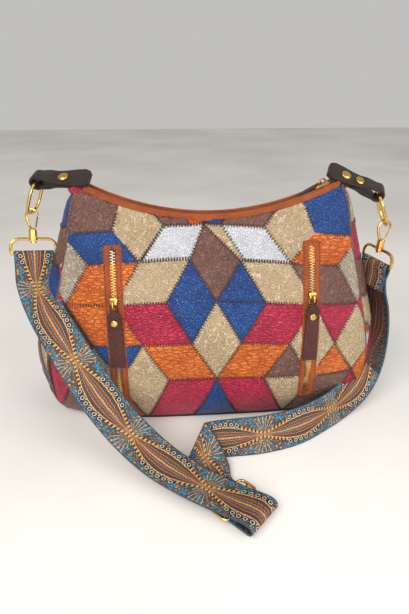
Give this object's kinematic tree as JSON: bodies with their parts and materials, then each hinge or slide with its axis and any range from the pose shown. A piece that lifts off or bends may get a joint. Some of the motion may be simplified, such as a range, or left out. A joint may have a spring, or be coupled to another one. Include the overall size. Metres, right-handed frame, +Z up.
{
  "type": "patchwork leather shoulder bag",
  "caption": "Slouchy patchwork leather shoulder bag with a dipped zip top, zipped front pockets and a patterned webbing strap clipped to rings at the corners.",
  "frame": {"origin": "centre of the flat base, on the floor the bag stands on", "axes": "+X to the right along the zip, -Y out of the front with the pockets, +Z up"},
  "size_m": [0.41, 0.2695, 0.2582],
  "materials": {
    "beige": "crackled grain leather",
    "leather": "grain leather",
    "crimson": "glossy grain leather",
    "blue": "pebbled leather",
    "tan": "smooth leather",
    "darkBrown": "smooth leather",
    "pull": "smooth leather",
    "gold": "polished pale gold plating",
    "lining": "woven lining",
    "strap": "jacquard webbing, pattern face",
    "strapBack": "jacquard webbing, back face out"
  },
  "bodies": {
    "bag": {"front_panel": "beige", "back_panel": "leather", "left_gusset": "crimson", "right_gusset": "blue", "base_panel": "leather", "lining": "lining", "left_zip_tape": "tan", "left_pocket_bag": "lining", "left_zip_chain": "gold", "right_zip_tape": "tan", "right_pocket_bag": "lining", "right_zip_chain": "gold", "front_binding": "tan", "back_binding": "tan", "top_zip_front_tape": "tan", "top_zip_back_tape": "tan", "top_zip_chain": "gold", "left_tab": "darkBrown", "left_tab_rivet": "gold", "right_tab": "darkBrown", "right_tab_rivet_inner": "gold", "right_tab_rivet_outer": "gold", "strap_left_run": "strap", "strap_loop_end": "strap", "strap_under_run": "strapBack", "strap_slide_buckle": "gold", "strap_floor_run": "strap", "strap_right_run": "strapBack"},
    "top_zip_slider": {"top_slider": "gold"},
    "top_zip_pull": {"top_pull": "gold"},
    "left_pocket_slider": {"left_slider": "gold"},
    "left_pocket_pull": {"left_pull": "pull", "left_pull_rivet": "gold"},
    "right_pocket_slider": {"right_slider": "gold"},
    "right_pocket_pull": {"right_pull": "pull", "right_pull_rivet": "gold"},
    "left_link": {"left_ring": "gold"},
    "left_clip": {"left_strap_base": "gold", "strap_left_end": "strap"},
    "left_snap": {"left_hook": "gold"},
    "left_latch": {"left_gate": "gold"},
    "right_link": {"right_ring": "gold"},
    "right_clip": {"right_strap_base": "gold", "strap_right_end": "strap"},
    "right_snap": {"right_hook": "gold"},
    "right_latch": {"right_gate": "gold"}
  },
  "joints": [
    {"name": "top_zip", "type": "hinge", "parent": "bag", "child": "top_zip_slider", "pos_m": [0, 0, 0.477], "axis": [0, 1, 0], "range_deg": [0, 46]},
    {"name": "top_pull_lift", "type": "hinge", "parent": "top_zip_slider", "child": "top_zip_pull", "pos_m": [0.10699, 0, 0.24407], "axis": [0, 1, 0], "range_deg": [0, 80]},
    {"name": "left_pocket_zip", "type": "hinge", "parent": "bag", "child": "left_pocket_slider", "pos_m": [-0.098, 0.2721, 0.0445], "axis": [1, 0, 0], "range_deg": [-6.5, 17]},
    {"name": "left_pull_lift", "type": "hinge", "parent": "left_pocket_slider", "child": "left_pocket_pull", "pos_m": [-0.09879, -0.05181, 0.13811], "axis": [-0.9897, 0.1372, -0.0413], "range_deg": [0, 80]},
    {"name": "right_pocket_zip", "type": "hinge", "parent": "bag", "child": "right_pocket_slider", "pos_m": [0.098, 0.2721, 0.0445], "axis": [1, 0, 0], "range_deg": [-6.5, 13.5]},
    {"name": "right_pull_lift", "type": "hinge", "parent": "right_pocket_slider", "child": "right_pocket_pull", "pos_m": [0.09879, -0.05181, 0.13811], "axis": [-0.9897, -0.1372, 0.0413], "range_deg": [0, 80]},
    {"name": "left_clip_swing", "type": "hinge", "parent": "bag", "child": "left_clip", "pos_m": [-0.166, 0.007, 0.25], "axis": [-0.2316, -0.9728, 0], "range_deg": [-40, 0], "stiffness_Nm_per_rad": 0.08, "deforming": ["strap_left_run"]},
    {"name": "left_ring_swing", "type": "hinge", "parent": "bag", "child": "left_link", "pos_m": [-0.166, 0.007, 0.25], "axis": [-0.2316, -0.9728, 0], "range_deg": [-40, 0], "stiffness_Nm_per_rad": 0.08},
    {"name": "left_hook_swivel", "type": "hinge", "parent": "left_clip", "child": "left_snap", "pos_m": [-0.17937, 0.00501, 0.20128], "axis": [0.0201, 0.3011, 0.9534], "range_deg": [-30, 30]},
    {"name": "left_gate_open", "type": "hinge", "parent": "left_snap", "child": "left_latch", "pos_m": [-0.17591, 0.00501, 0.20383], "axis": [-0.2211, -0.9286, 0.2979], "range_deg": [0, 25], "stiffness_Nm_per_rad": 0.02},
    {"name": "right_clip_swing", "type": "hinge", "parent": "bag", "child": "right_clip", "pos_m": [0.165, -0.007, 0.236], "axis": [0.1683, 0.9857, 0], "range_deg": [-40, 0], "stiffness_Nm_per_rad": 0.08, "deforming": ["strap_right_run"]},
    {"name": "right_ring_swing", "type": "hinge", "parent": "bag", "child": "right_link", "pos_m": [0.165, -0.007, 0.236], "axis": [0.1683, 0.9857, 0], "range_deg": [-40, 0], "stiffness_Nm_per_rad": 0.08},
    {"name": "right_hook_swivel", "type": "hinge", "parent": "right_clip", "child": "right_snap", "pos_m": [0.17719, -0.00925, 0.18652], "axis": [0.0599, 0, 0.9982], "range_deg": [-30, 30]},
    {"name": "right_gate_open", "type": "hinge", "parent": "right_snap", "child": "right_latch", "pos_m": [0.18079, -0.00984, 0.18881], "axis": [-0.1683, -0.9857, 0.0101], "range_deg": [0, 25], "stiffness_Nm_per_rad": 0.02}
  ],
  "couplings": [
    {"joint": "left_ring_swing", "follows": "left_clip_swing", "ratio": 1},
    {"joint": "right_ring_swing", "follows": "right_clip_swing", "ratio": 1}
  ]
}
